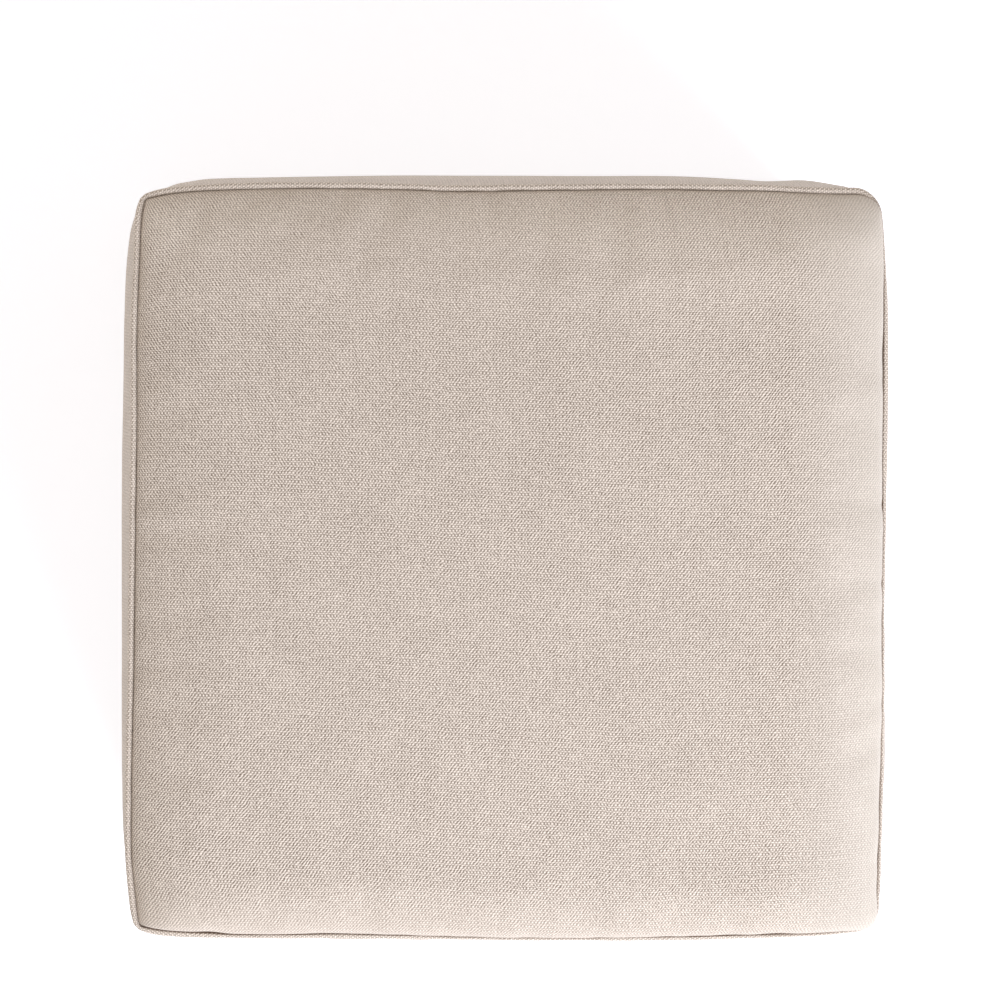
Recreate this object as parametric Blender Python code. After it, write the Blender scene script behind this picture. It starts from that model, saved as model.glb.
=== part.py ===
# Cube pouf stool: a square, softly filled seat in woven cloth. Its pieces are a crowned top panel, a boxing
# that goes round the four sides, a flat base panel, and a cord-filled piping in the top and the base seam.
# The top panel and the boxing are solid through, as each holds its share of the filling.
# Metres, +Z up. The origin is on the floor, under the middle of the pouf. Front is -Y, right is +X.
import math
from collections import namedtuple

import bmesh
import bpy
from mathutils import Vector

# Driving sizes
HEIGHT = 0.450  # floor to the top of the crown
FACE = 0.437  # seam to seam across the sides, half way up
CROWN = 0.020  # the top of the crown above its seam
PIPING_RADIUS = 0.0020
BASE_THICKNESS = 0.0022
GAP = 0.0003  # between pieces that are sewn together
BODY_CORNER = 0.014  # radius of the upright corners, half way up
BASE_CORNER = 0.008

TOP_SEAM = HEIGHT - CROWN
BOXING_FOOT = BASE_THICKNESS + GAP
BOXING_HEAD = TOP_SEAM - GAP / 2
PIPING_OFFSET = PIPING_RADIUS + GAP  # from a seam to the middle of its piping
BASE_PIPING = PIPING_RADIUS + GAP  # the middle of the base piping above the floor, which it doesn't touch

SIDE_POINTS = 15  # points along a side, between its corners
ARC_POINTS = 5  # points round a corner
SIDE_FULLNESS = 7.0  # how evenly a side bulges: 2 is a parabola, more is flatter in the middle
SEAM_FULLNESS = 6.0  # the same for the bow of a seam, which turns in late, close to its corners
SHARP_EDGE = math.radians(50)

# Corners go anticlockwise from the front left. The right back one is stuffed the fullest.
Corner = namedtuple("Corner", "x y radius")
HALF = FACE / 2
BODY_CORNERS = (
    Corner(x=-HALF, y=-HALF, radius=BODY_CORNER),
    Corner(x=HALF, y=-HALF, radius=BODY_CORNER),
    Corner(x=HALF + 0.002, y=HALF + 0.006, radius=BODY_CORNER),
    Corner(x=-HALF, y=HALF, radius=BODY_CORNER),
)
BASE_CORNERS = (
    Corner(x=-HALF, y=-HALF, radius=BASE_CORNER),
    Corner(x=HALF, y=-HALF, radius=BASE_CORNER),
    Corner(x=HALF, y=HALF, radius=BASE_CORNER),
    Corner(x=-HALF, y=HALF, radius=BASE_CORNER),
)
# The top seam's corners were turned unevenly, and drawn in by the sewing.
TOP_CORNERS = (
    Corner(x=-0.2173, y=-0.2122, radius=0.004),
    Corner(x=0.2152, y=-0.2147, radius=0.0115),
    Corner(x=0.2160, y=0.2166, radius=0.013),
    Corner(x=-0.2121, y=0.2133, radius=0.004),
)

# How far the middle of each side of a seam stands outside the line between its corners
Bows = namedtuple("Bows", "front right back left")
TOP_BOWS = Bows(front=0.0050, right=0.0034, back=0.0043, left=0.0047)
BASE_BOWS = Bows(front=0.0010, right=0.0010, back=0.0010, left=0.0010)

# The boxing from either seam to half way up: distance from the seam, how far the sides' middles bulge, and
# how much of the seam's own outline is left. The first rows make room for the piping.
Section = namedtuple("Section", "from_seam bulge seam_share")
BOXING_SECTIONS = (
    Section(from_seam=0.0, bulge=0.0, seam_share=1.0),
    Section(from_seam=0.0015, bulge=0.0002, seam_share=1.0),
    Section(from_seam=0.0035, bulge=0.0012, seam_share=1.0),
    Section(from_seam=0.0080, bulge=0.0031, seam_share=0.94),
    Section(from_seam=0.0200, bulge=0.0057, seam_share=0.80),
    Section(from_seam=0.0450, bulge=0.0085, seam_share=0.52),
    Section(from_seam=0.0900, bulge=0.0109, seam_share=0.20),
    Section(from_seam=0.1500, bulge=0.0122, seam_share=0.04),
    Section(from_seam=(BOXING_HEAD - BOXING_FOOT) / 2, bulge=0.0125, seam_share=0.0),
)

# The top panel from its seam to its middle: distance in from the seam, where less than nothing overhangs it,
# height above the seam, how much rounder its corners are than the seam's, and how far the filling has pushed
# it over towards the front right
Crown = namedtuple("Crown", "inset rise rounder push")
CROWN_SECTIONS = (
    Crown(inset=0.0, rise=GAP / 2, rounder=0.0, push=0.0),
    Crown(inset=0.0, rise=0.0026, rounder=0.001, push=0.0002),
    Crown(inset=-0.0004, rise=0.0048, rounder=0.002, push=0.0012),
    Crown(inset=0.0002, rise=0.0072, rounder=0.005, push=0.0018),
    Crown(inset=0.0026, rise=0.0097, rounder=0.008, push=0.0019),
    Crown(inset=0.0070, rise=0.0118, rounder=0.011, push=0.0016),
    Crown(inset=0.0150, rise=0.0137, rounder=0.016, push=0.0012),
    Crown(inset=0.0320, rise=0.0160, rounder=0.028, push=0.0005),
    Crown(inset=0.0640, rise=0.0180, rounder=0.042, push=0.0),
    Crown(inset=0.1100, rise=0.0193, rounder=0.050, push=0.0),
    Crown(inset=0.1600, rise=0.0199, rounder=0.034, push=0.0),
    Crown(inset=0.2000, rise=CROWN, rounder=0.004, push=0.0),
)

# Linear colour and roughness of each sub-part's cloth
Finish = namedtuple("Finish", "colour roughness")
FACE_FINISH = Finish(colour=(0.60, 0.52, 0.46), roughness=0.92)
SIDE_FINISH = Finish(colour=(0.58, 0.50, 0.44), roughness=0.92)
PIPING_FINISH = Finish(colour=(0.55, 0.47, 0.41), roughness=0.90)
BASE_FINISH = Finish(colour=(0.50, 0.43, 0.37), roughness=0.94)


def mixed(first, second, share):
    """Corners part of the way from the first outline's to the second's."""
    return tuple(
        Corner(*(a + (b - a) * share for a, b in zip(one, other)))
        for one, other in zip(first, second)
    )


def grown(corners, by, rounder):
    """Corners moved away from the middle by a distance along X and Y, and made rounder."""
    return tuple(
        Corner(
            x=corner.x + by * math.copysign(1, corner.x),
            y=corner.y + by * math.copysign(1, corner.y),
            radius=corner.radius + rounder,
        )
        for corner in corners
    )


def corner_arc(before, corner, after):
    """Points round one corner, from where its arc leaves the side before it to where it joins the next."""
    here = Vector((corner.x, corner.y))
    back = (Vector((before.x, before.y)) - here).normalized()
    ahead = (Vector((after.x, after.y)) - here).normalized()
    half_angle = back.angle(ahead) / 2
    centre = here + (back + ahead).normalized() * (corner.radius / math.sin(half_angle))
    start = here + back * (corner.radius / math.tan(half_angle)) - centre
    sweep = math.pi - 2 * half_angle
    points = []
    for step in range(ARC_POINTS):
        turn = sweep * step / (ARC_POINTS - 1)
        turned_x = start.x * math.cos(turn) - start.y * math.sin(turn)
        turned_y = start.x * math.sin(turn) + start.y * math.cos(turn)
        points.append(centre + Vector((turned_x, turned_y)))
    return points


def outline(corners, bows, height, bulge=0.0, push=0.0):
    """A closed outline at one height, anticlockwise: rounded corners, and sides that bow outwards."""
    arcs = [corner_arc(corners[i - 1], corners[i], corners[(i + 1) % 4]) for i in range(4)]
    points = []
    for i, bow in enumerate(bows):
        points += arcs[i]
        start, end = arcs[i][-1], arcs[(i + 1) % 4][0]
        along = (end - start).normalized()
        outwards = Vector((along.y, -along.x))
        for step in range(1, SIDE_POINTS + 1):
            share = step / (SIDE_POINTS + 1)
            off_middle = abs(2 * share - 1)
            stand_out = bow * (1 - off_middle**SEAM_FULLNESS) + bulge * (1 - off_middle**SIDE_FULLNESS)
            points.append(start.lerp(end, share) + outwards * stand_out)
    return [Vector((point.x + push, point.y - push, height)) for point in points]


def woven(name, finish):
    """The material of one sub-part."""
    material = bpy.data.materials.new(name)
    material.use_nodes = True
    shader = material.node_tree.nodes["Principled BSDF"]
    shader.inputs["Base Color"].default_value = (*finish.colour, 1.0)
    shader.inputs["Roughness"].default_value = finish.roughness
    shader.inputs["Metallic"].default_value = 0.0
    return material


def placed(name, data, finish):
    """An object in the pouf's collection, with its own material."""
    data.materials.append(woven(name + "_cloth", finish))
    piece = bpy.data.objects.new(name, data)
    pouf.objects.link(piece)
    return piece


def loft(name, rings, finish):
    """A closed solid through outlines of equal point counts, from the lowest to the last."""
    bm = bmesh.new()
    loops = [[bm.verts.new(point) for point in ring] for ring in rings]
    for lower, upper in zip(loops, loops[1:]):
        for i in range(len(lower)):
            bm.faces.new((lower[i - 1], lower[i], upper[i], upper[i - 1]))
    bm.faces.new(loops[0][::-1])
    bm.faces.new(loops[-1])
    mesh = bpy.data.meshes.new(name)
    bm.to_mesh(mesh)
    bm.free()
    mesh.shade_smooth()
    mesh.set_sharp_from_angle(angle=SHARP_EDGE)
    placed(name, mesh, finish)


def closed_curve(name, points, dimensions):
    """A curve with one closed run of straight pieces through the points."""
    curve = bpy.data.curves.new(name, "CURVE")
    curve.dimensions = dimensions
    spline = curve.splines.new("POLY")
    spline.points.add(len(points) - 1)
    for knot, point in zip(spline.points, points):
        knot.co = (*point, 1.0)
    spline.use_cyclic_u = True
    return curve


def boxing_ring(section, height, seam_corners, seam_bows):
    """The boxing's outline at one height, between its plain body and the outline of the seam it nears."""
    corners = mixed(BODY_CORNERS, seam_corners, section.seam_share)
    bows = Bows(*(bow * section.seam_share for bow in seam_bows))
    return outline(corners, bows, height, bulge=section.bulge)


def make_boxing():
    """The four sides in one: narrow at the two seams, full half way up, round at its upright corners."""
    lower = [
        boxing_ring(section, BOXING_FOOT + section.from_seam, BASE_CORNERS, BASE_BOWS)
        for section in BOXING_SECTIONS
    ]
    upper = [
        boxing_ring(section, BOXING_HEAD - section.from_seam, TOP_CORNERS, TOP_BOWS)
        for section in BOXING_SECTIONS[-2::-1]
    ]
    loft("boxing", lower + upper, SIDE_FINISH)


def make_top_panel():
    """The crowned face: it stands up from its seam, rolls over and rises gently to its middle."""
    rings = []
    for section in CROWN_SECTIONS:
        corners = grown(TOP_CORNERS, -section.inset, section.rounder)
        bow_left = 1 - max(section.inset, 0.0) / HALF
        bows = Bows(*(bow * bow_left for bow in TOP_BOWS))
        rings.append(outline(corners, bows, TOP_SEAM + section.rise, push=section.push))
    loft("top_panel", rings, FACE_FINISH)


def make_base_panel():
    """The flat cloth that lies on the floor, inside the base seam."""
    curve = closed_curve("base_panel", outline(BASE_CORNERS, BASE_BOWS, 0.0), "2D")
    curve.fill_mode = "BOTH"
    curve.extrude = BASE_THICKNESS / 2
    panel = placed("base_panel", curve, BASE_FINISH)
    panel.location.z = BASE_THICKNESS / 2


def make_piping(name, corners, bows, height):
    """A round cord in cloth, just outside a seam."""
    curve = closed_curve(name, outline(grown(corners, PIPING_OFFSET, PIPING_OFFSET), bows, height), "3D")
    curve.bevel_depth = PIPING_RADIUS
    curve.bevel_resolution = 2
    placed(name, curve, PIPING_FINISH)


for leftover in list(bpy.data.objects):
    bpy.data.objects.remove(leftover)

pouf = bpy.data.collections.new("cube_pouf_stool")
bpy.context.scene.collection.children.link(pouf)

make_boxing()
make_top_panel()
make_base_panel()
make_piping("piping_top", TOP_CORNERS, TOP_BOWS, TOP_SEAM)
make_piping("piping_base", BASE_CORNERS, BASE_BOWS, BASE_PIPING)
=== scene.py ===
# Cube pouf stool: a soft square seat in chunky woven upholstery, piped round its seat seam and its base seam.
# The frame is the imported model's: metres, +Z up, the floor at 0, the front at -Y and the right at +X.
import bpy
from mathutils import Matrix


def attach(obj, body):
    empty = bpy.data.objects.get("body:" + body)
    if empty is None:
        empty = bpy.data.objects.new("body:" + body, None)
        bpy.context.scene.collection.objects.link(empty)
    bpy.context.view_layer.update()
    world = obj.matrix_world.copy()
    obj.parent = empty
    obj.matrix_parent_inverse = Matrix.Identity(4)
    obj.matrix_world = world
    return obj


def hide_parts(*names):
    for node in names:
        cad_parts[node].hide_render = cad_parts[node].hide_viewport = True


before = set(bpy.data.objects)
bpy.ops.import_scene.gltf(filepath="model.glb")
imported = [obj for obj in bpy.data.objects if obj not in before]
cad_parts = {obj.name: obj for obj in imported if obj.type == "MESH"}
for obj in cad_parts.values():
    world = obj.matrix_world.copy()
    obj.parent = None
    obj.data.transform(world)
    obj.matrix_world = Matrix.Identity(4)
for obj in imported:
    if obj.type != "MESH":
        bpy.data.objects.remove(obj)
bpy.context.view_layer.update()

import math

import bmesh
import bpy
import numpy as np
from mathutils import Matrix, Vector

mm = 0.001

# The whole pouf, as its pattern pieces meet. Sides go front, right, back, left, and each runs anticlockwise.
pouf = {
    "seatSeam": 0.430,       # height of the seam between seat and sides
    "baseTop": 0.0025,       # where the side cloth starts, above the base cloth
    "sewnGap": 0.15,         # from the middle of the seat seam down to the side cloth, mm
    "face": 0.437,           # seam to seam, half way up
    # the upright corners half way up, and their radius; the right back one is stuffed the fullest
    "bodyCorners": ((-0.2185, -0.2185), (0.2185, -0.2185), (0.2205, 0.2245), (-0.2185, 0.2185)),
    "bodyCorner": 0.014,
    "baseCorner": 0.008,
    "arcPoints": 14, "runPoints": 121,       # that make half a corner's arc, and a side between two arcs
    # x, y and radius of the seat seam's corners, from the front left
    "seatCorners": ((-0.2173, -0.2122, 0.002), (0.2152, -0.2147, 0.010),
                    (0.2160, 0.2166, 0.013), (-0.2121, 0.2133, 0.001)),
    # the hand-sewn seat seam is drawn in at its corners: how far it stands outside the straight line between
    # them, share of the way along and mm
    "seatSeamRuns": (((0, 0), (0.025, 2.1), (0.05, 3.2), (0.12, 4.0), (0.3, 4.2), (0.46, 5.1), (0.58, 5.6),
                      (0.75, 5.2), (0.83, 4.3), (0.91, 3.2), (0.95, 2.0), (0.975, 0.8), (1, 0)),
                     ((0, 0), (0.03, 0.3), (0.06, 0.9), (0.2, 2.3), (0.32, 3.0), (0.45, 2.8), (0.57, 3.5),
                      (0.65, 3.7), (0.74, 4.2), (0.82, 4.1), (0.9, 2.7), (0.95, 1.2), (0.98, 0.1), (1, 0)),
                     ((0, 0), (0.03, 0.0), (0.1, 1.0), (0.14, 2.0), (0.22, 2.7), (0.31, 3.5), (0.47, 3.3),
                      (0.56, 3.0), (0.64, 4.3), (0.8, 5.6), (0.885, 5.1), (0.93, 4.3), (0.965, 3.0),
                      (0.985, 1.4), (1, 0)),
                     ((0, 0), (0.012, 1.2), (0.03, 2.3), (0.08, 3.2), (0.18, 4.5), (0.345, 4.0), (0.47, 4.2),
                      (0.62, 4.3), (0.8, 5.1), (0.87, 5.1), (0.91, 4.6), (0.94, 3.3), (0.965, 2.0),
                      (0.983, 1.1), (1, 0))),
    "baseSeamRuns": (((0, 0), (0.15, 0.5), (0.5, 1.0), (0.85, 0.5), (1, 0)),) * 4,
    # how full the filling stands along each side, half way up
    "bodyRuns": (((0, 0), (0.03, 0.2), (0.06, 0.5), (0.1, 0.75), (0.15, 0.92), (0.22, 0.99), (0.5, 1.0),
                  (0.78, 0.99), (0.85, 0.92), (0.9, 0.75), (0.94, 0.5), (0.97, 0.2), (1, 0)),
                 ((0, 0), (0.03, 0.2), (0.06, 0.5), (0.1, 0.75), (0.15, 0.92), (0.22, 0.99), (0.6, 0.99),
                  (0.68, 0.92), (0.78, 0.9), (0.85, 0.84), (0.9, 0.7), (0.94, 0.47), (0.97, 0.2), (1, 0)),
                 ((0, 0), (0.04, 0.1), (0.082, 0.165), (0.126, 0.18), (0.17, 0.32), (0.256, 0.53),
                  (0.36, 0.63), (0.46, 0.7), (0.56, 0.72), (0.65, 0.74), (0.74, 0.745), (0.81, 0.755),
                  (0.867, 0.75), (0.911, 0.66), (0.933, 0.63), (0.955, 0.56), (0.969, 0.36), (0.984, 0.12),
                  (1, 0)),
                 ((0, 0), (0.016, 0.22), (0.03, 0.4), (0.045, 0.52), (0.064, 0.58), (0.086, 0.63),
                  (0.115, 0.73), (0.144, 0.78), (0.187, 0.83), (0.231, 0.85), (0.289, 0.89), (0.362, 0.95),
                  (0.435, 0.96), (0.52, 0.935), (0.61, 0.91), (0.7, 0.905), (0.78, 0.89), (0.84, 0.85),
                  (0.885, 0.74), (0.929, 0.525), (0.958, 0.23), (0.985, 0.02), (1, 0))),
}
front, right, back, left = range(4)


def linearColour(hexText):
    parts = [int(hexText[i:i + 2], 16) / 255 for i in (1, 3, 5)]
    return tuple(c / 12.92 if c <= 0.04045 else ((c + 0.055) / 1.055) ** 2.4 for c in parts) + (1.0,)


def addNode(tree, kind, inputs=(), output=0, **settings):
    # adds one shader node, gives it its settings and values or links, and hands back one of its outputs
    made = tree.nodes.new("ShaderNode" + kind)
    for name, value in settings.items():
        setattr(made, name, value)
    for socket, value in inputs.items() if isinstance(inputs, dict) else enumerate(inputs):
        if isinstance(value, bpy.types.NodeSocket):
            tree.links.new(value, made.inputs[socket])
        else:
            made.inputs[socket].default_value = value
    return None if output is None else made.outputs[output]


def smoothTable(at, table):
    # a smooth curve through a short table of places and values, which never overshoots its points
    xs, ys = np.array(table, float).T
    slopes = np.diff(ys) / np.diff(xs)
    ends = np.concatenate([[slopes[0]], (slopes[:-1] + slopes[1:]) / 2, [slopes[-1]]])
    ends[1:-1][slopes[:-1] * slopes[1:] <= 0] = 0
    low = np.minimum(np.abs(np.concatenate([[slopes[0]], slopes])),
                     np.abs(np.concatenate([slopes, [slopes[-1]]])))
    ends = np.clip(ends, -3 * low, 3 * low)
    i = np.clip(np.searchsorted(xs, at) - 1, 0, len(xs) - 2)
    step = xs[i + 1] - xs[i]
    t = np.clip((at - xs[i]) / step, 0, 1)
    return ((2 * t**3 - 3 * t**2 + 1) * ys[i] + (t**3 - 2 * t**2 + t) * step * ends[i]
            + (3 * t**2 - 2 * t**3) * ys[i + 1] + (t**3 - t**2) * step * ends[i + 1])


def splineWeights(at, count):
    # for each place along a row of so many control values, the weights of a smooth spline among them
    at = np.clip(at, 0, count - 1)
    first = np.minimum(np.floor(at).astype(int), count - 2)
    t = at - first
    shares = ((1 - t) ** 3, 3 * t**3 - 6 * t**2 + 4, -3 * t**3 + 3 * t**2 + 3 * t + 1, t**3)
    weights = np.zeros((len(at), count))
    for offset, share in zip((-1, 0, 1, 2), shares):
        np.add.at(weights, (np.arange(len(at)), np.clip(first + offset, 0, count - 1)), share / 6)
    return weights


hillSpread = 1.7     # the spline evens the random heights out, so they are drawn from a wider range


def softHills(rowsAt, columnsAt, every, seed):
    # smooth random hills over a grid of cloth, about -1 to 1
    rows, columns = ((at - at.min()) / every for at in (rowsAt, columnsAt))
    counts = [int(at.max()) + 3 for at in (rows, columns)]
    draws = np.random.default_rng(seed).uniform(-hillSpread, hillSpread, counts)
    return splineWeights(rows, counts[0]) @ draws @ splineWeights(columns, counts[1]).T


def softLine(at, every, seed):
    return softHills(at, at[:1], every, seed)[:, 0]


def ease(x):
    x = np.clip(x, 0, 1)
    return x * x * (3 - 2 * x)


def hump(x):
    return np.exp(-x * x)


def sideOutline(corners, side, shares, *runs):
    # points along one side of a rounded outline, from the middle of one corner's arc to that of the next;
    # runs: tables of how far each side stands out, and how much of them it follows
    def arc(i, first, last):
        here, before, after = (np.array(corners[k % 4][:2], float) for k in (i, i - 1, i + 1))
        radius = corners[i % 4][2]
        toBefore, toAfter = before - here, after - here
        toBefore, toAfter = toBefore / np.linalg.norm(toBefore), toAfter / np.linalg.norm(toAfter)
        halfAngle = math.acos(np.clip(toBefore @ toAfter, -1, 1)) / 2
        middle = (toBefore + toAfter) / np.linalg.norm(toBefore + toAfter)
        centre = here + middle * radius / math.sin(halfAngle)
        start = here + toBefore * radius / math.tan(halfAngle) - centre
        turns = (math.pi - 2 * halfAngle) * np.linspace(first, last, pouf["arcPoints"])
        return centre + np.stack([start[0] * np.cos(turns) - start[1] * np.sin(turns),
                                  start[0] * np.sin(turns) + start[1] * np.cos(turns)], 1)
    leaving, meeting = arc(side, 0.5, 1), arc(side + 1, 0, 0.5)
    start, end = leaving[-1], meeting[0]
    along = (end - start) / np.linalg.norm(end - start)
    outwards = np.array([along[1], -along[0]])
    t = np.linspace(0, 1, pouf["runPoints"])[1:-1, None]
    line = np.concatenate([leaving, start + (end - start) * t, meeting])
    run = np.concatenate([[0], np.cumsum(np.linalg.norm(np.diff(line, axis=0), axis=1))])
    off = sum(smoothTable(run / run[-1], tables[side]) * much for tables, much in runs)
    line = line + outwards * off[:, None] * mm
    return np.stack([np.interp(shares * run[-1], run, line[:, k]) for k in (0, 1)], 1)


def fourSidedPatch(lines, u, v):
    # a smooth sheet of points between four sides; the back and the left line run backwards
    u, v = (grid[..., None] for grid in np.meshgrid(u, v))
    frontLine, rightLine, backLine, leftLine = lines
    return ((1 - v) * frontLine[None] + v * backLine[None]
            + (1 - u) * leftLine[:, None] + u * rightLine[:, None]
            - (1 - u) * (1 - v) * frontLine[0] - u * (1 - v) * frontLine[-1]
            - (1 - u) * v * backLine[0] - u * v * backLine[-1])


def gridNormals(points, ring=False):
    # a ring's last column is followed by its first
    wide = np.concatenate([points[:, -1:], points, points[:, :1]], 1) if ring else points
    normals = np.cross(np.gradient(wide, axis=1), np.gradient(wide, axis=0))
    normals /= np.maximum(np.linalg.norm(normals, axis=2, keepdims=True), 1e-12)
    return normals[:, 1:-1] if ring else normals


def gridFaces(rows, columns):
    index = np.arange(rows * columns).reshape(rows, columns)
    return np.stack([index[:-1, :-1], index[:-1, 1:], index[1:, 1:], index[1:, :-1]], -1).reshape(-1, 4)


# points this near each other, in metres, become one; a crease sharper than this many degrees shows
finish = {"weld": 2e-6, "sharpAngle": 50}


def clothMesh(name, panels, material):
    # one closed piece from grids of points, each with its cloth's own millimetres as UVs, and how much
    # painted shade each point gets from lying in a sewn ditch, 0 to 1; open ends are closed flat
    places, faces, uvs, paintedShades = [], [], [], []
    for points, cloth, ditch in panels:
        quads = gridFaces(*points.shape[:2])
        faces.append(quads + sum(len(p) for p in places))
        places.append(points.reshape(-1, 3))
        uvs.append(cloth.reshape(-1, 2)[quads.ravel()])
        paintedShades.append(np.broadcast_to(ditch, points.shape[:2]).ravel())
    mesh = bpy.data.meshes.new(name)
    mesh.from_pydata(np.concatenate(places).tolist(), [], np.concatenate(faces).tolist())
    cutFrom = mesh.uv_layers.new(name="clothMm")
    cutFrom.uv.foreach_set("vector", np.concatenate(uvs).astype(np.float32).ravel())
    # the ditch attribute carries each point's painted shade of the sewn ditches
    depth = mesh.attributes.new("ditch", "FLOAT", "POINT")
    depth.data.foreach_set("value", np.concatenate(paintedShades).astype(np.float32))
    bm = bmesh.new()
    bm.from_mesh(mesh)
    bmesh.ops.remove_doubles(bm, verts=bm.verts, dist=finish["weld"])
    openEdges = [edge for edge in bm.edges if edge.is_boundary]
    if openEdges:
        bmesh.ops.holes_fill(bm, edges=openEdges, sides=0)
    bmesh.ops.recalc_face_normals(bm, faces=bm.faces)
    bm.to_mesh(mesh)
    bm.free()
    mesh.shade_smooth()
    mesh.set_sharp_from_angle(angle=math.radians(finish["sharpAngle"]))
    mesh.materials.append(material)
    piece = bpy.data.objects.new(name, mesh)
    bpy.context.scene.collection.objects.link(piece)
    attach(piece, "root")
    return piece


def fromEdge(length, fine, grow, coarse):
    # places from an edge inwards, close together at the edge, all the way to that length
    at, step = [0.0], fine
    while at[-1] < length:
        at.append(at[-1] + step)
        step = min(step * grow, coarse)
    return np.array(at) * length / at[-1]


def betweenEdges(length, fine, grow, coarse):
    half = fromEdge(length / 2, fine, grow, coarse)
    return np.concatenate([half, length - half[-2::-1]])


print("tools ready")

# Upholstery basket cloth, taken as a cotton and linen mix, woven from chunky, slightly uneven yarn. To the
# eye it is matte and pebbly: light floats stand over darker gaps, set like bricks, and lean one way where the
# yarns are pulled, with faint lengthwise streaks from yarn to yarn. Such fibre has an IOR of about 1.53.
weave = {
    "endMm": 0.971,          # from one warp yarn to the next
    "pickMm": 1.294,         # from one weft yarn to the next
    "floatTint": "#f6ebe0",  # top of a float
    "gapTint": "#75675b",    # between the floats: partly the yarn's own darker tone, partly painted shade in the weave's hollows
    "paintedDitchShadeTint": "#95887d",  # painted shade, multiplied in where the cloth dives into a sewn seam
    "paintedRimHighlightTint": "#d6d1ca",              # painted highlight: a pale tint on the seat's right edge, where the key light falls and washes out the rim
    "wanderMm": 1.2, "wanderEvery": 9.0,     # how far the yarns bend, and over what distance
    "jitterMm": 0.45, "jitterEvery": 2.1,
    "patchy": 0.6, "patchEvery": 6.0,        # how much the lean changes from patch to patch
    "leanReach": 180.0,      # mm from the middle to where a lean is given
    "uneven": 0.35, "unevenEvery": 3.2,      # how much the floats' size changes
    "warpRib": 0.22, "weftRib": 0.42,        # how high either yarn's rib stands beside the floats
    "floatShade": 0.45,      # how much height, and so shade, each float has of its own
    "stretchedLevel": 0.22,  # the height towards which stretched floats flatten
    "heights": (-0.93, 1.17),                # of the weave that are darkest and lightest
    "weftStreak": 22, "warpStreak": 30,      # how long the streaks along the yarns are
    "weftStreaky": 0.08, "warpStreaky": 0.07,
    "mottle": 0.08, "mottleEvery": 38.0,
    "evenOut": 0.1,          # takes back about what the streaks and the mottling add
    "bump": 0.00018,         # height of a float, in metres
    "roughness": 0.92,
    "ior": 1.53,
    "specular": 0.25,
    "sheen": 0.25,
    "sheenRoughness": 0.5,
    "sheenTint": "#fff8f2",
}


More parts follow.
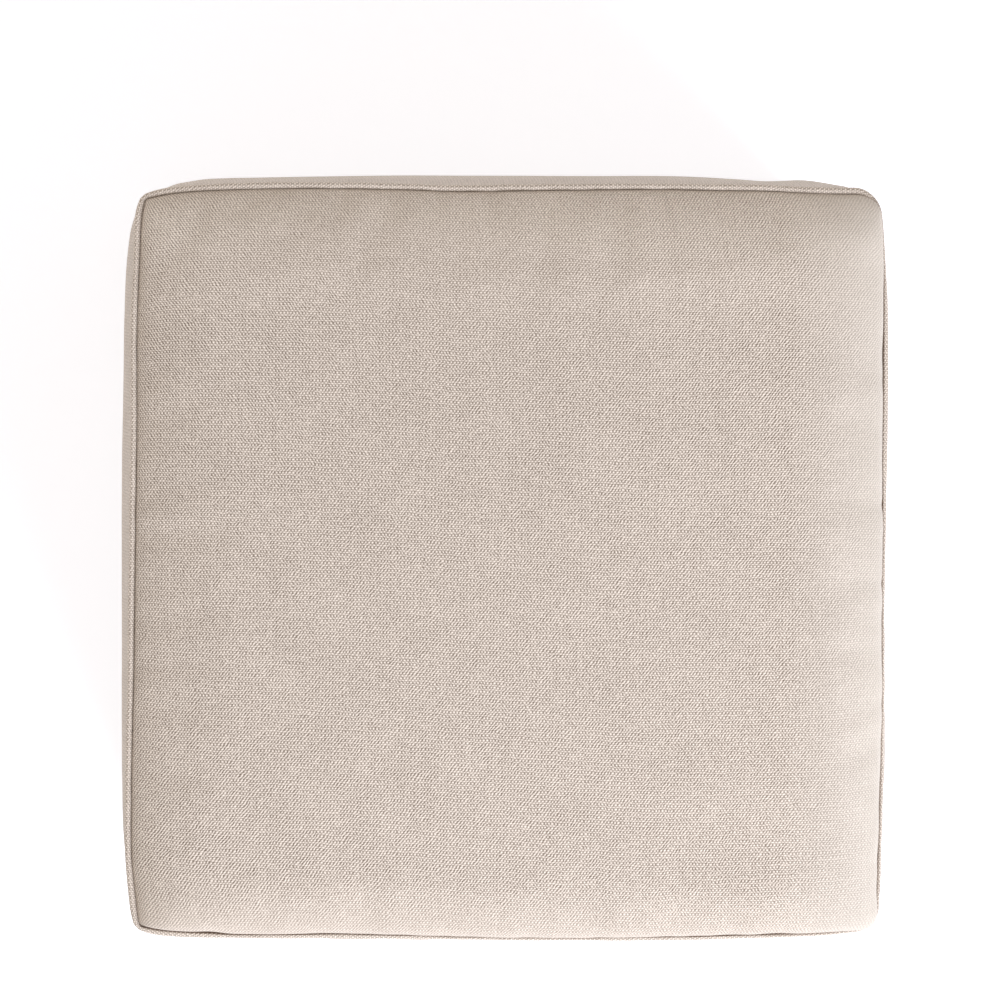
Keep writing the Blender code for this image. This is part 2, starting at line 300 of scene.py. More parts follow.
def wovenCloth(name, lean=(0.2, 0, 0, 0), contrast=1.0, lift=0.0, tint="#ffffff", smoothPast=None):
    # lean: which way the floats lean, -1 to 1, in the middle, and how that changes to the right, to the back
    # and towards the right back and left front corners; smoothPast: where the cloth is stretched over an edge
    # and its floats lie flatter: from, to and how much of them is left, on the right, in front, at the back;
    # the right one also fades to a painted highlight, a pale tint where the key light falls on that rim
    material = bpy.data.materials.new(name)
    material.use_nodes = True
    tree = material.node_tree
    tree.nodes.clear()
    cut = addNode(tree, "UVMap", uv_map="clothMm")

    def noise(every, vector=cut, detail=0.0, output=0):
        return addNode(tree, "TexNoise", {"Vector": vector, "Scale": 1 / every, "Detail": detail}, output,
                       noise_dimensions="2D")

    def maths(operation, *inputs, **settings):
        return addNode(tree, "Math", inputs, operation=operation, **settings)

    wander, jitter = noise(weave["wanderEvery"], detail=1.0, output=1), noise(weave["jitterEvery"], output=1)
    drifted = cut
    for bend, much in ((wander, weave["wanderMm"]), (jitter, weave["jitterMm"])):
        drifted = addNode(tree, "VectorMath", (bend, (much,) * 3, drifted), operation="MULTIPLY_ADD")
    across = maths("MULTIPLY", addNode(tree, "SeparateXYZ", (drifted,)), math.pi / weave["endMm"])
    along = maths("MULTIPLY", addNode(tree, "SeparateXYZ", (drifted,), 1), math.pi / weave["pickMm"])
    # a float over every second crossing is two slanted ribs that cross; unequal ribs make the floats lean
    backward = maths("COSINE", maths("ADD", across, along))
    forward = maths("COSINE", maths("SUBTRACT", across, along))
    wide, deep = addNode(tree, "SeparateXYZ", (cut,)), addNode(tree, "SeparateXYZ", (cut,), 1)
    middle, rightwards, backwards, corners = (part / 2 / weave["leanReach"] ** power
                                              for part, power in zip(lean, (0, 1, 1, 2)))
    steeper = maths("MULTIPLY_ADD", wide, corners, backwards)
    share = maths("MULTIPLY_ADD", steeper, deep, maths("MULTIPLY_ADD", wide, rightwards, middle + 0.5))
    patch = maths("MULTIPLY_ADD", noise(weave["patchEvery"]), weave["patchy"], share)
    share = maths("ADD", patch, -weave["patchy"] / 2, use_clamp=True)
    ribs = addNode(tree, "Mix", {0: share, 2: backward, 3: forward})
    size = maths("MULTIPLY_ADD", noise(weave["unevenEvery"]), weave["uneven"], 1 - weave["uneven"] / 2)
    ribs = maths("MULTIPLY", ribs, size)
    rows = maths("COSINE", maths("MULTIPLY", along, 2.0))
    height = maths("MULTIPLY_ADD", maths("COSINE", across), weave["warpRib"], ribs)
    height = maths("MULTIPLY_ADD", rows, weave["weftRib"], height)
    # each float's own shade, streaks along either yarn, and slow mottling
    snapped = addNode(tree, "VectorMath", (drifted, (weave["endMm"], weave["pickMm"], 1)), operation="SNAP")
    ownShade = addNode(tree, "TexWhiteNoise", (snapped,), noise_dimensions="2D")
    height = maths("MULTIPLY_ADD", ownShade, weave["floatShade"], height)
    weftYarn, warpYarn = (addNode(tree, "VectorMath", (cut, (1 / long, 1 / wide, 1)), operation="MULTIPLY")
                          for long, wide in ((weave["weftStreak"], weave["pickMm"]),
                                             (weave["endMm"], weave["warpStreak"])))
    if smoothPast:
        edges = [addNode(tree, "MapRange", (place, start, end, 1.0, rest))
                 for place, (start, end, rest) in zip((wide, deep, deep), smoothPast)]
        flatter = maths("MULTIPLY", maths("MULTIPLY", edges[0], edges[1]), edges[2])
        raised = maths("ADD", height, -weave["stretchedLevel"])
        height = maths("MULTIPLY_ADD", raised, flatter, weave["stretchedLevel"])
    # the tone follows the weave's height, lighter on the floats and darker in the gaps: partly painted shade
    # of the hollows
    tone = addNode(tree, "MapRange", (height, *weave["heights"], 0.5 - 0.5 * contrast, 0.5 + 0.5 * contrast))
    tone = maths("MULTIPLY_ADD", noise(1.0, weftYarn, 1.0), weave["weftStreaky"], tone)
    tone = maths("MULTIPLY_ADD", noise(1.0, warpYarn, 1.0), weave["warpStreaky"], tone)
    tone = maths("MULTIPLY_ADD", noise(weave["mottleEvery"], detail=1.0), weave["mottle"], tone)
    # lift: painted light, a lighter copy of the same cloth where its seam's shade leaves it too dark
    tone = maths("ADD", tone, lift - weave["evenOut"], use_clamp=True)
    colour = addNode(tree, "Mix", {0: tone, 6: linearColour(weave["gapTint"]),
                                   7: linearColour(weave["floatTint"])}, 2, data_type="RGBA")
    # painted highlight: the seat's right edge fades towards a pale tint where the key light falls on its roll
    if smoothPast:
        rimHighlight = maths("MULTIPLY_ADD", edges[0], -1.0, 1.0)
        colour = addNode(tree, "Mix", {0: rimHighlight, 6: colour, 7: linearColour(weave["paintedRimHighlightTint"])}, 2,
                         data_type="RGBA")
    # painted shade: the ditch attribute darkens the colour in the sewn ditches, where shade falls
    ditch = addNode(tree, "Attribute", output=2, attribute_name="ditch")
    for factor, shade in ((1.0, tint), (ditch, weave["paintedDitchShadeTint"])):
        colour = addNode(tree, "Mix", {0: factor, 6: colour, 7: linearColour(shade)}, 2, data_type="RGBA",
                         blend_type="MULTIPLY")
    relief = addNode(tree, "Bump", {"Height": height, "Distance": weave["bump"], "Strength": 1.0})
    shader = addNode(tree, "BsdfPrincipled", {
        "Base Color": colour, "Roughness": weave["roughness"], "IOR": weave["ior"],
        "Specular IOR Level": weave["specular"], "Sheen Weight": weave["sheen"],
        "Sheen Roughness": weave["sheenRoughness"], "Sheen Tint": linearColour(weave["sheenTint"]),
        "Normal": relief})
    addNode(tree, "OutputMaterial", {"Surface": shader}, None)
    return material


seatCloth = wovenCloth("seatBasketWeave", lean=(0.1, 0.15, -0.1, 0.35),
                       smoothPast=((160, 221, 0.52), (-178, -217, 0.45), (135, 215, 0.65)))
sideCloth = wovenCloth("sideBasketWeave", contrast=0.75)
baseCloth = wovenCloth("baseBasketWeave", tint="#e9e4df")
# the piping's cloth is lifted: painted light that makes it as bright as the seat's, in place of the light its
# seam shades
pipingCloth = wovenCloth("pipingBasketWeave", lean=(0.1, 0, 0, 0), contrast=0.8, lift=0.07)
print("cloths woven")

# The crowned top panel
seat = {
    # cloth from the seam inwards, how far that lies inside the seam, and its height above it, mm: a full roll
    # on the right and the front, where the filling leans, and a softer shoulder on the left and the back
    "fullEdge": ((0.0, 0.0, 0.15), (2.4, 0.0, 2.5), (4.6, 0.0, 4.7), (7.2, 0.2, 7.2), (10.0, 1.2, 9.6),
                 (13.5, 3.6, 11.6), (18.0, 7.6, 13.1), (26.0, 15.4, 14.6), (44.0, 33.2, 16.6),
                 (76.0, 65.1, 18.5), (122.0, 111.0, 19.6), (172.0, 160.9, 19.95), (229.6, 218.5, 20.0)),
    "softEdge": ((0.0, 0.0, 0.15), (1.7, 0.55, 1.7), (3.4, 1.4, 3.2), (5.6, 2.8, 4.8), (8.6, 5.1, 6.8),
                 (12.7, 8.7, 8.8), (18.2, 13.8, 10.9), (27.3, 22.5, 13.2), (44.2, 39.2, 15.8),
                 (75.2, 70.1, 18.1), (121.2, 116.1, 19.45), (171.2, 166.1, 19.9), (223.6, 218.5, 20.0)),
    # the back's shoulder is longer: its height at places up the cloth
    "longRise": ((0.0, 0.15), (1.7, 1.55), (3.4, 2.8), (5.6, 4.1), (8.6, 5.8), (12.7, 7.9), (18.2, 10.3),
                 (27.3, 13.4), (44.2, 16.4), (75.2, 18.5), (121.2, 19.6), (171.2, 19.95), (223.6, 20.0)),
    # how far the roll hangs over the seam, mm, at places up the right side and along the front, mm from the
    # middle, and how much of that each stretch of cloth takes
    "rightOverhang": ((-230, 2.6), (-212, 2.3), (-200, 1.8), (-176, 1.6), (-150, 1.5), (-86, 1.6), (-51, 1.3),
                      (13, 1.2), (42, 0.6), (77, 0.0), (141, 0.4), (163, 1.2), (185, 2.2), (200, 2.7),
                      (230, 2.7)),
    "frontOverhang": ((-230, 0.0), (-205, 0.0), (-180, 0.2), (-160, 1.2), (-140, 1.2), (-106, 0.6),
                      (-48, 1.2), (11, 1.7), (70, 1.2), (123, 1.0), (150, 1.2), (178, 1.5), (200, 1.7),
                      (212, 2.2), (230, 2.5)),
    "overhangShare": ((0, 0.0), (2.2, 0.1), (3.4, 0.45), (4.8, 0.85), (6.5, 1.0), (10, 1.0), (13, 0.85),
                      (18, 0.65), (35, 0.35), (70, 0.1), (110, 0.0), (230, 0.0), (460, 0.0)),
    "cornerSoft": 3.0,       # lower rounds the crown's corners more
    "fine": 0.7, "grow": 1.05, "coarse": 2.15,
    # how steeply the weft runs down to the right, in degrees, along the cloth's width
    "weftSlope": ((-230, 2.0), (-80, 2.2), (-50, 3.0), (60, 3.0), (100, 0.3), (230, 0.3)),
    # where the seam gathers the cloth: side, place along it from its middle, depth, reach and width, mm
    "puckers": ((back, -102, 0.7, 18, 7), (back, -43, 0.5, 14, 6), (back, -11, 0.6, 16, 6),
                (back, 16, 0.5, 14, 5), (back, 42, 0.65, 20, 7), (back, 89, 0.7, 18, 7),
                (left, 18, 0.7, 26, 6), (left, -28, 0.4, 16, 6), (left, -63, 0.45, 18, 7),
                (left, 56, -0.35, 16, 8), (left, 29, -0.3, 14, 5),
                (right, 34, 0.7, 14, 4), (right, -13, 0.7, 14, 4), (right, -86, 0.6, 16, 6),
                (right, 72, -0.3, 14, 8), (right, 19, -0.3, 12, 4), (right, -25, -0.3, 12, 5),
                (front, -60, 0.25, 14, 8), (front, 95, 0.25, 14, 9)),
    "puckerStart": 5.0,      # how far from the seam a pucker is full, mm
    "puckerGain": 1.3,       # makes up for the depth that it loses on its way there
    "swell": 0.45, "swellWidth": 2.2,        # how much the cloth swells beside a pucker, as shares of it
    # finer gathers all along the seam
    "gather": 0.25, "gatherEvery": 7.0, "gatherReach": 7.0, "gatherStart": 4.0, "gatherSeed": 20,
    # slow unevenness of the filling
    "hills": 0.45, "hillsEvery": 62.0, "hillsStart": 40.0, "hillsSeed": 11,
    "ditchShade": 0.25, "ditchWidth": 1.2,   # how dark the painted shade is at the seam, and how far in that reaches
}
fullEdge, softEdge, longRise = (np.array(seat[table]) for table in ("fullEdge", "softEdge", "longRise"))
seamToSeam = 2 * fullEdge[-1, 1]


def seatSkin(cloth):
    # cloth: places from the left seam to the right one; the other way, the same places run from back to front
    a, b = np.meshgrid(cloth, -cloth[::-1])
    gaps = {front: b - b[0, 0], right: a[0, -1] - a, back: b[-1, 0] - b, left: a - a[0, 0]}
    fromLeft = smoothTable(cloth - cloth[0], softEdge[:, :2])
    fromRight = smoothTable(cloth[-1] - cloth, fullEdge[:, :2])
    u = np.where(cloth < 0, fromLeft, seamToSeam - fromRight) / seamToSeam
    v = 1 - u[::-1]
    lines = [sideOutline(pouf["seatCorners"], side, share, (pouf["seatSeamRuns"], 1))
             for side, share in ((front, u), (right, v), (back, 1 - u), (left, 1 - v))]
    spots = fourSidedPatch(lines, u, v)
    # a softer edge counts as the full edge's cloth that is as high, so that all four blend into one crown
    asFull = dict(gaps)
    for side, rises in ((left, softEdge[:, ::2]), (back, longRise)):
        rise = smoothTable(gaps[side], rises)
        asFull[side] = np.interp(rise, fullEdge[:, 2], fullEdge[:, 0])
    power = seat["cornerSoft"]
    near = sum(np.maximum(gap, 1e-6) ** -power for gap in asFull.values()) ** (-1 / power)
    rise = smoothTable(near, fullEdge[:, ::2])
    over = [smoothTable(place, seat[table]) * smoothTable(gaps[side], seat["overhangShare"])
            for side, place, table in ((right, b, "rightOverhang"), (front, a, "frontOverhang"))]
    points = np.dstack([spots[..., 0] + over[0] * mm, spots[..., 1] - over[1] * mm,
                        pouf["seatSeam"] + rise * mm])
    return points, np.dstack([a, b]), gaps


# The boxing, four panels sewn at the upright corners
sides = {
    # from either seam to half way up: distance from the seam, how far the middle bulges, and how much of the
    # seam's own outline is left, mm and share
    "profile": ((0.0, 0.0, 1.0), (1.5, 0.2, 1.0), (3.5, 1.2, 1.0), (8.0, 3.1, 0.94), (20.0, 5.7, 0.80),
                (45.0, 8.5, 0.52), (90.0, 10.9, 0.20), (150.0, 12.2, 0.04), (213.7, 12.5, 0.0)),
    "fine": 0.5, "grow": 1.1, "coarse": 3.6,
    "width": 437.0,          # a panel's, before its corners are sewn
    # the upright seams: how deep and how wide the ditch is, and how far the cloth beside it stands up, mm
    "ditch": 1.0, "ditchWidth": 1.0, "welt": 0.45, "weltAt": 4.5, "weltWidth": 4.0,
    "gather": 0.3, "gatherEvery": 9.0, "gatherReach": 9.0, "gatherStart": 12.0,
    "seamSeed": 32, "cornerSeed": 33,
    "hills": 0.9, "hillsEvery": 75.0, "hillsStart": 40.0, "hillsSeed": 31,
    "cutApart": 600,         # from one panel's place in the cloth to the next one's, mm
    # how dark the painted shade is in the upright seams, and how far from either kind of seam it reaches, mm
    "ditchShade": 0.7, "ditchShadeWidth": 0.9, "seamShadeWidth": 1.2,
}
halfFace = pouf["face"] / 2
baseOutline = [(sx * halfFace, sy * halfFace, pouf["baseCorner"])
               for sx, sy in ((-1, -1), (1, -1), (1, 1), (-1, 1))]
bodyOutline = [(x, y, pouf["bodyCorner"]) for x, y in pouf["bodyCorners"]]
sideFoot = pouf["baseTop"]
sideTall = (pouf["seatSeam"] - sideFoot) / mm - pouf["sewnGap"]


def sideSkin(heights, shares):
    # the four panels as one ring of points; heights in mm above the foot
    profile = np.array(sides["profile"])
    panels = [[], [], [], []]
    for h in heights:
        upper = h > sideTall / 2
        fromSeam = sideTall - h if upper else h
        bulge, share = (float(smoothTable(fromSeam, table)) for table in (profile[:, :2], profile[:, ::2]))
        seam = pouf["seatCorners"] if upper else baseOutline
        seamRuns = pouf["seatSeamRuns" if upper else "baseSeamRuns"]
        corners = [np.array(b) * (1 - share) + np.array(s) * share for b, s in zip(bodyOutline, seam)]
        for side in range(4):
            line = sideOutline(corners, side, shares, (pouf["bodyRuns"], bulge), (seamRuns, share))
            panels[side].append(np.column_stack([line, np.full(len(line), sideFoot + h * mm)]))
    return ringed(panels)


def ringed(panels):
    return np.concatenate([np.array(panel)[:, :-1] for panel in panels], 1)


def unringed(ring):
    count = ring.shape[1] // 4
    return [ring[:, (side * count + np.arange(count + 1)) % ring.shape[1]] for side in range(4)]


# The filling swells the cloth: a coarse copy of the whole cover, held at its seat and base seams, is blown up
# by Cloth, and part of the folds that this leaves is laid over the finely made panels
filling = {
    "cell": 8.0,             # mm between the copy's points
    "pressure": 4.0,
    "spare": -0.02,          # less than nothing makes the cloth larger than its seams, so that it gathers
    "frames": 20,
    "cap": 9.0,              # how far a point may move, mm
    "broad": 3.2,            # folds wider than about so many cells stay out: the panels have their own bulge
    "keep": 0.4,             # how much of the folds is kept
    "seamStiff": 5.0,        # mm from a seam to where the cloth follows the folds in full
    "join": 0.02,            # points of the copy that are this near, in mm, are one
    "quickCells": 8,
}


def swollen(panels, held):
    # how far each point of some grids moves when they are joined, held where they are sewn, and blown up
    every = np.concatenate([p.reshape(-1, 3) for p in panels])
    rounded = np.round(every / (filling["join"] * mm)).astype(int)
    _, firsts, shared = np.unique(rounded, axis=0, return_index=True, return_inverse=True)
    shared = shared.ravel()
    starts = np.cumsum([0] + [p.shape[0] * p.shape[1] for p in panels])
    quads = np.concatenate([shared[gridFaces(*p.shape[:2]) + start] for p, start in zip(panels, starts)])
    mesh = bpy.data.meshes.new("fillingCopy")
    mesh.from_pydata(every[firsts].tolist(), [], quads.tolist())
    copy = bpy.data.objects.new("fillingCopy", mesh)
    bpy.context.scene.collection.objects.link(copy)
    sewn = copy.vertex_groups.new(name="sewn")
    sewn.add([int(i) for i in np.unique(shared[np.concatenate([h.ravel() for h in held])])], 1.0, "REPLACE")
    swelling = copy.modifiers.new("filling", "CLOTH")
    swelling.settings.vertex_group_mass = "sewn"
    swelling.settings.use_pressure = True
    swelling.settings.uniform_pressure_force = filling["pressure"]
    swelling.settings.shrink_min = filling["spare"]
    swelling.settings.effector_weights.gravity = 0
    swelling.collision_settings.use_collision = False
    swelling.point_cache.frame_start, swelling.point_cache.frame_end = 1, filling["frames"]
    for step in range(1, filling["frames"] + 1):
        bpy.context.scene.frame_set(step)
    after = np.zeros(len(firsts) * 3, np.float32)
    copy.evaluated_get(bpy.context.evaluated_depsgraph_get()).data.vertices.foreach_get("co", after)
    moved = after.reshape(-1, 3) - every[firsts]
    far = np.linalg.norm(moved, axis=1, keepdims=True)
    moved *= np.minimum(1, filling["cap"] * mm / np.maximum(far, 1e-9))
    print("cloth blown up: moved", round(far.mean() / mm, 2), "mm on average,",
          round(far.max() / mm, 2), "at most")
    bpy.context.scene.frame_set(1)
    bpy.data.objects.remove(copy)
    bpy.data.meshes.remove(mesh)
    return [moved[shared[start:end]].reshape(*p.shape) for p, start, end in zip(panels, starts, starts[1:])]


def foldsOnly(moved, ring=False):
    # takes the broad part of a movement away
    smooth = moved
    for axis in (0, 1):
        count = moved.shape[axis]
        apart = np.abs(np.subtract.outer(np.arange(count), np.arange(count)))
        if ring and axis:
            apart = np.minimum(apart, count - apart)
        blur = hump(apart / filling["broad"])
        blur /= blur.sum(1, keepdims=True)
        smooth = np.moveaxis(np.tensordot(blur, smooth, (1, axis)), 0, axis)
    return (moved - smooth) * filling["keep"]


def blownUp():
    cells = int((softEdge[-1, 0] + fullEdge[-1, 0]) / filling["cell"]) + 1
    clothAt = np.linspace(-softEdge[-1, 0], fullEdge[-1, 0], cells)
    shares = np.linspace(0, 1, cells)
    heights = np.linspace(0, sideTall, cells)
    top = seatSkin(clothAt)[0]
    around = unringed(sideSkin(heights, shares))
    low = [panel[0][:, :2] for panel in around]
    floorCloth = fourSidedPatch([low[front], low[right], low[back][::-1], low[left][::-1]], shares, shares)
    floorCloth = np.dstack([floorCloth, np.full(floorCloth.shape[:2], sideFoot)])[:, ::-1]
    index = np.arange(cells * cells).reshape(cells, cells)
    # held: the seat's rim, the lowest and the highest row of each side, and all of the cloth on the floor
    rim = np.concatenate([index[0], index[-1], index[:, 0], index[:, -1]])
    held = [rim] + [np.concatenate([index[0], index[-1]]) + (i + 1) * index.size for i in range(4)]
    held.append(index.ravel() + 5 * index.size)
    moved = swollen([top, *around, floorCloth], held)
    return foldsOnly(moved[0]), foldsOnly(ringed(moved[1:5]), ring=True), cells


seatFolds, sideFolds, cells = blownUp()


def fineSeat():
    spacing = (seat["fine"], seat["grow"], seat["coarse"])
    leftHalf = fromEdge(softEdge[-1, 0], *spacing) - softEdge[-1, 0]
    rightHalf = (fullEdge[-1, 0] - fromEdge(fullEdge[-1, 0], *spacing))[-2::-1]
    cloth = np.concatenate([leftHalf, rightHalf])
    points, ab, gaps = seatSkin(cloth)
    inner = np.minimum.reduce(list(gaps.values()))
    normals = gridNormals(points)
    lift = seat["hills"] * softHills(-cloth[::-1], cloth, seat["hillsEvery"], seat["hillsSeed"])
    lift = lift * ease(inner / seat["hillsStart"])
    for side, place, depth, reach, width in seat["puckers"]:
        along = ab[..., 0] if side in (front, back) else ab[..., 1]
        offSeam = gaps[side]
        envelope = ease(offSeam / seat["puckerStart"]) * hump(offSeam / reach) * seat["puckerGain"]
        across = (along - place) / width
        lift -= depth * envelope * (hump(across) - seat["swell"] * hump(across / seat["swellWidth"]))
    for side in range(4):
        fine = softLine(cloth, seat["gatherEvery"], seat["gatherSeed"] + side)
        fine = fine[None, :] if side in (front, back) else fine[:, None]
        lift += (seat["gather"] * fine * ease(inner / seat["gatherStart"])
                 * hump(gaps[side] / seat["gatherReach"]))
    at = (cloth - cloth[0]) / (cloth[-1] - cloth[0]) * (cells - 1)
    fromFront = (cells - 1 - at)[::-1]
    folds = np.einsum("im,mnk,jn->ijk", splineWeights(fromFront, cells), seatFolds, splineWeights(at, cells),
                      optimize=True)
    points = points + normals * lift[..., None] * mm + folds * ease(inner / filling["seamStiff"])[..., None]
    slope = np.tan(np.radians(np.interp(cloth, *np.array(seat["weftSlope"]).T)))
    skew = np.concatenate([[0], np.cumsum((slope[1:] + slope[:-1]) / 2 * np.diff(cloth))])
    uv = ab + np.dstack([0 * ab[..., 0], np.broadcast_to(skew, ab.shape[:2])])
    # the last grid is the painted shade where the seat dives into its seam, darkest at the seam
    return points, uv, seat["ditchShade"] - seat["ditchShade"] * ease(inner / seat["ditchWidth"])


seatPiece = clothMesh("seatPanel", [fineSeat()], seatCloth)
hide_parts("top_panel")
print("seat made:", len(seatPiece.data.polygons), "faces")


def fineSides():
    spacing = (sides["fine"], sides["grow"], sides["coarse"])
    heights = betweenEdges(sideTall, *spacing)
    across = betweenEdges(sides["width"], *spacing)
    ring = sideSkin(heights, across / sides["width"])
    normals = gridNormals(ring, ring=True)
    at = np.concatenate([across[:-1] + side * sides["width"] for side in range(4)])
    offCorner = np.minimum(at % sides["width"], sides["width"] - at % sides["width"])[None, :]
    offSeam = np.minimum(heights, sideTall - heights)[:, None]
    lift = sides["hills"] * softHills(heights, at, sides["hillsEvery"], sides["hillsSeed"])
    lift = lift * ease(offCorner / sides["hillsStart"]) * ease(offSeam / sides["hillsStart"])
    ditch = hump(offCorner / sides["ditchWidth"])
    welt = sides["welt"] * hump((offCorner - sides["weltAt"]) / sides["weltWidth"])
    lift = lift + welt - sides["ditch"] * ditch
    alongSeam = softLine(at, sides["gatherEvery"], sides["seamSeed"])[None, :]
    alongSeam = alongSeam * ease(offCorner / sides["gatherStart"])
    lift += sides["gather"] * alongSeam * hump(offSeam / sides["gatherReach"])
    alongCorner = softLine(heights, sides["gatherEvery"], sides["cornerSeed"])[:, None]
    lift += sides["gather"] * alongCorner * hump(offCorner / sides["gatherReach"]) * (1 - ditch)
    steps = (cells - 1) * at / sides["width"] + 2
    wide = np.concatenate([sideFolds[:, -2:], sideFolds, sideFolds[:, :3]], 1)
    folds = np.einsum("im,mnk,jn->ijk", splineWeights(heights / sideTall * (cells - 1), cells), wide,
                      splineWeights(steps, wide.shape[1]), optimize=True)
    calm = ease(offSeam / filling["seamStiff"])[..., None]
    ring = ring + (normals * lift[..., None] * mm + folds) * calm
    rise = np.linalg.norm(np.diff(ring[:, len(across) // 2], axis=0), axis=1) / mm
    up = np.concatenate([[0], np.cumsum(rise)])
    panels = []
    for side, points in enumerate(unringed(ring)):
        cloth = np.dstack(np.meshgrid(across - sides["width"] / 2 + sides["cutApart"] * side, up))
        # painted shade in the upright seams and along the seat and base seams
        edge = np.minimum(across, sides["width"] - across)[None, :]
        deep = np.maximum(sides["ditchShade"] * hump(edge / sides["ditchShadeWidth"]),
                          1 - ease(offSeam / sides["seamShadeWidth"]))
        panels.append((points, cloth, deep))
    return panels


sidePiece = clothMesh("sidePanels", fineSides(), sideCloth)
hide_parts("boxing")
print("sides made:", len(sidePiece.data.polygons), "faces")

# The cord in its wrapped cloth, in both seams, mm
piping = {
    "radius": 1.85, "offset": 2.1,           # the offset is from the seam out to the cord's middle
    # about how long a side is, how far apart its points are, and how many go round the cord
    "sideLength": 440.0, "step": 0.75, "round": 16,
    "baseHeight": 2.35,
    # how thin the cord is pulled round each corner, and how far from it
    "cornerThin": (0.8, 0.85, 0.95, 0.75), "cornerReach": 6.0,
    "parting": 0.2,          # half the angle at which its cloth parts for the sewn edge, radians
    # how far on in the cloth that edge's neck, tip and fold lie, radians of the cord
    "edgeTurns": (0.2, 1.0, 1.1),
    "flange": 1.7, "flangeThick": 0.1,       # the edge of its cloth that is sewn into the seam
    "neck": 0.08,            # how far outside the seam that edge leaves the cord
    "uneven": 0.05, "unevenEvery": 14.0,     # share by which its thickness changes, and over what distance
    "wander": 0.12, "wanderEvery": 22.0,
    "meet": 20.0,            # over what distance its unevenness fades where the round starts and ends
    "join": 0.09, "joinWidth": 6.0,          # where its two ends overlap, in the middle of the back
    "shade": 0.7, "underRoll": 0.7,          # how far the painted shade in the ditch reaches from the seam, and past a roll's edge
    "openShade": 0.1,        # how dark the painted shade in the ditch is where no roll hangs over it
    # and where one does: before it hangs over, less for each mm that it does, and at least
    "rollShade": (1.8, 0.7, 0.3),
}


def pipingTube(name, corners, seamRuns, height, seed):
    grown = [(x + math.copysign(piping["offset"] * mm, x), y + math.copysign(piping["offset"] * mm, y),
              radius + piping["offset"] * mm) for x, y, radius in corners]
    shares = np.linspace(0, 1, int(piping["sideLength"] / piping["step"]) + 1)[:-1]
    line = np.concatenate([sideOutline(grown, side, shares, (seamRuns, 1)) for side in range(4)])
    ahead = np.roll(line, -1, 0) - np.roll(line, 1, 0)
    ahead /= np.linalg.norm(ahead, axis=1)[:, None]
    outwards = np.column_stack([ahead[:, 1], -ahead[:, 0]])
    run = np.concatenate([[0], np.cumsum(np.linalg.norm(np.diff(line, axis=0), axis=1))]) / mm
    blend = ease(np.minimum(run, run[-1] - run) / piping["meet"])
    side = np.repeat(np.arange(4), len(shares))
    fromJoin = run - run[2 * len(shares) + len(shares) // 2]
    radius = piping["radius"] * (1 + piping["uneven"] * softLine(run, piping["unevenEvery"], seed) * blend
                                 + piping["join"] * hump(fromJoin / piping["joinWidth"]))
    offset = piping["wander"] * softLine(run, piping["wanderEvery"], seed + 1) * blend
    offset = offset + radius - piping["radius"]      # a thicker stretch grows outwards, away from the seam
    atSeat = height == pouf["seatSeam"]
    for corner, thin in enumerate(piping["cornerThin"]):
        away = np.abs(run - run[corner * len(shares)])
        less = (1 - thin) * piping["radius"] * hump(np.minimum(away, run[-1] - away) / piping["cornerReach"])
        radius, offset = radius - less * atSeat, offset - less * atSeat
    turns = np.linspace(-math.pi + piping["parting"], math.pi - piping["parting"], piping["round"] + 1)
    out = radius[:, None] * np.cos(turns) + offset[:, None]
    up = radius[:, None] * np.sin(turns)
    tip, neck = (np.full((len(line), 1), reach - piping["offset"])
                 for reach in (-piping["flange"], piping["neck"]))
    out = np.concatenate([tip, neck, out, neck, tip, tip], 1)
    thick = np.full((len(line), 1), piping["flangeThick"] / 2)
    up = np.concatenate([-thick, -thick, up, thick, thick, -thick], 1)
    toNeck, toTip, toFold = piping["edgeTurns"]
    turns = np.concatenate([turns[:1] - (toTip, toNeck), turns, turns[-1:] + (toNeck, toTip, toFold)])
    points = np.dstack([line[:, None, :] + outwards[:, None, :] * out[..., None] * mm, height + up * mm])
    over = np.select([side == right, side == front],
                     [smoothTable(line[:, 1] / mm, seat["rightOverhang"]),
                      smoothTable(line[:, 0] / mm, seat["frontOverhang"])]) * atSeat
    # painted shade in the seat's ditch: darkest just past the roll's edge, where the roll would shade the
    # cord
    rolled = (side <= right)[:, None] & atSeat
    reach = over[:, None] + piping["underRoll"] * rolled
    level, lessPerMm, least = piping["rollShade"]
    most = np.where(rolled, np.clip(level - lessPerMm * over[:, None], least, 1), piping["openShade"])
    deep = (1 - ease((piping["offset"] + out - reach) / piping["shade"])) * most
    cloth = np.dstack(np.meshgrid(turns * piping["radius"], np.append(run, run[-1] + piping["step"])))
    points, deep = (np.concatenate([grid, grid[:1]]) for grid in (points, deep))
    return clothMesh(name, [(points, cloth, deep)], pipingCloth)


seatPiping = pipingTube("seatPiping", pouf["seatCorners"], pouf["seatSeamRuns"], pouf["seatSeam"], seed=41)
basePiping = pipingTube("basePiping", baseOutline, pouf["baseSeamRuns"], piping["baseHeight"] * mm, seed=43)
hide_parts("piping_top")
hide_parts("piping_base")
print("piping made:", len(seatPiping.data.polygons), "faces each")

# The flat cloth on the floor
# edgeCloth: how much longer its cloth is at the upper edge of its rim than at the lower one
base = {"thick": 2.2, "cells": 110, "edgeCloth": 1.01}


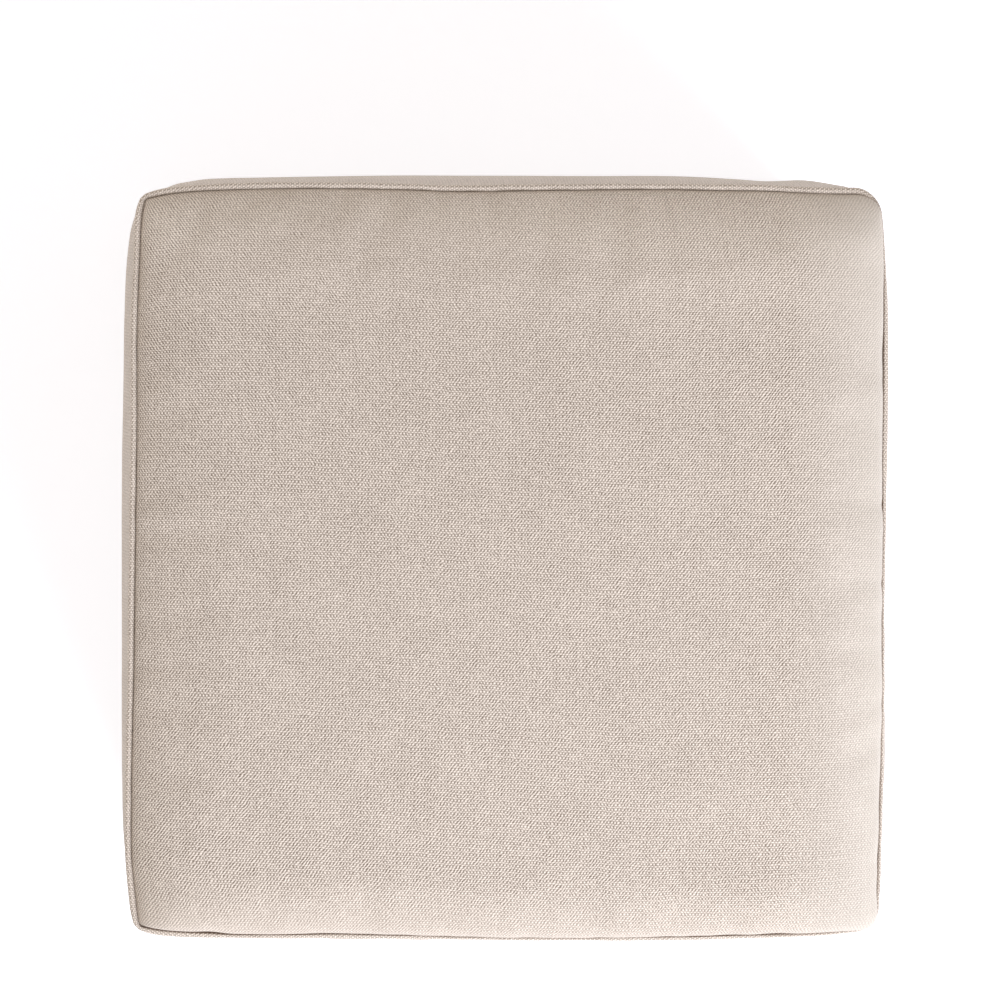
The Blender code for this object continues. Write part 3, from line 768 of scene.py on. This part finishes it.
def baseSkin():
    shares = np.linspace(0, 1, base["cells"] + 1)
    lines = [sideOutline(baseOutline, side, shares, (pouf["baseSeamRuns"], 1)) for side in range(4)]
    spots = fourSidedPatch([lines[front], lines[right], lines[back][::-1], lines[left][::-1]], shares, shares)
    low, high = (np.dstack([spots, np.full(spots.shape[:2], z)]) for z in (0.0, base["thick"] * mm))
    rim = np.concatenate([line[:-1] for line in lines] + [lines[0][:1]])
    wall = np.stack([np.column_stack([rim, np.full(len(rim), z)]) for z in (0.0, base["thick"] * mm)])
    wallCloth = np.stack([rim / mm, rim / mm * base["edgeCloth"]])
    return [(low[:, ::-1], spots[:, ::-1] / mm, 0.0), (high, spots / mm, 0.0), (wall, wallCloth, 0.0)]


basePiece = clothMesh("basePanel", baseSkin(), baseCloth)
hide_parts("base_panel")
print("base made")

# Pale paper floor, two softboxes, a pale room and the camera
studio = {
    "floorTint": "#f6f9ff", "floorGlow": 0.5, "floorSize": 14, "floorRoughness": 0.95, "floorSpecular": 0.1,
    "worldTint": "#fff6ed", "worldStrength": 0.59,
    "keyPlace": (0.85, -1.25, 1.7), "keySize": 1.3, "keyPower": 45.5, "keyTint": "#f2f6ff",
    "fillPlace": (-1.70, 1.60, 0.25), "fillSize": 1.3, "fillPower": 10.0, "fillTint": "#fff3e6",
    "lampAim": (0, 0, 0.35),
    # the camera hangs over the seat's back left, and looks a little past its middle
    "eye": (-0.15, 0.17, 3.67), "aim": (-0.005, 0.037, 0.430), "frameWidth": 0.5875, "sensor": 36.0,
    "clip": (0.1, 50),
}

backdrop = bpy.data.materials.new("mattePaperFloor")
backdrop.use_nodes = True
paper = backdrop.node_tree.nodes["Principled BSDF"]
paper.inputs["Base Color"].default_value = linearColour(studio["floorTint"])
paper.inputs["Roughness"].default_value = studio["floorRoughness"]
paper.inputs["Specular IOR Level"].default_value = studio["floorSpecular"]
paper.inputs["Emission Color"].default_value = linearColour(studio["floorTint"])
paper.inputs["Emission Strength"].default_value = studio["floorGlow"]
bpy.ops.mesh.primitive_plane_add(size=studio["floorSize"])
floor = bpy.context.object
floor.name = "floor"
floor.data.materials.append(backdrop)

world = bpy.data.worlds.new("softStudio")
bpy.context.scene.world = world
world.use_nodes = True
sky = world.node_tree.nodes["Background"]
sky.inputs["Color"].default_value = linearColour(studio["worldTint"])
sky.inputs["Strength"].default_value = studio["worldStrength"]

for box in ("key", "fill"):
    softbox = bpy.data.lights.new(box + "Softbox", "AREA")
    softbox.shape = "SQUARE"
    softbox.size = studio[box + "Size"]
    softbox.energy = studio[box + "Power"]
    softbox.color = linearColour(studio[box + "Tint"])[:3]
    lamp = bpy.data.objects.new(box + "Softbox", softbox)
    lamp.location = studio[box + "Place"]
    lamp.rotation_euler = (Vector(studio["lampAim"]) - lamp.location).to_track_quat("-Z", "Y").to_euler()
    bpy.context.scene.collection.objects.link(lamp)

lens = bpy.data.cameras.new("camera")
eye, aim = Vector(studio["eye"]), Vector(studio["aim"])
sight = (aim - eye).normalized()
rightwards = sight.cross(Vector((0, 1, 0))).normalized()
upwards = rightwards.cross(sight)
turned = Matrix((rightwards, upwards, -sight)).transposed().to_4x4()
turned.translation = eye
camera = bpy.data.objects.new("camera", lens)
camera.matrix_world = turned
lens.sensor_width = studio["sensor"]
lens.lens = studio["sensor"] * (aim - eye).length / studio["frameWidth"]
lens.clip_start, lens.clip_end = studio["clip"]
bpy.context.scene.collection.objects.link(camera)
bpy.context.scene.camera = camera
bpy.context.scene.view_settings.view_transform = "Standard"
bpy.context.scene.view_settings.look = "None"
print("studio set, lens", round(lens.lens, 1), "mm")
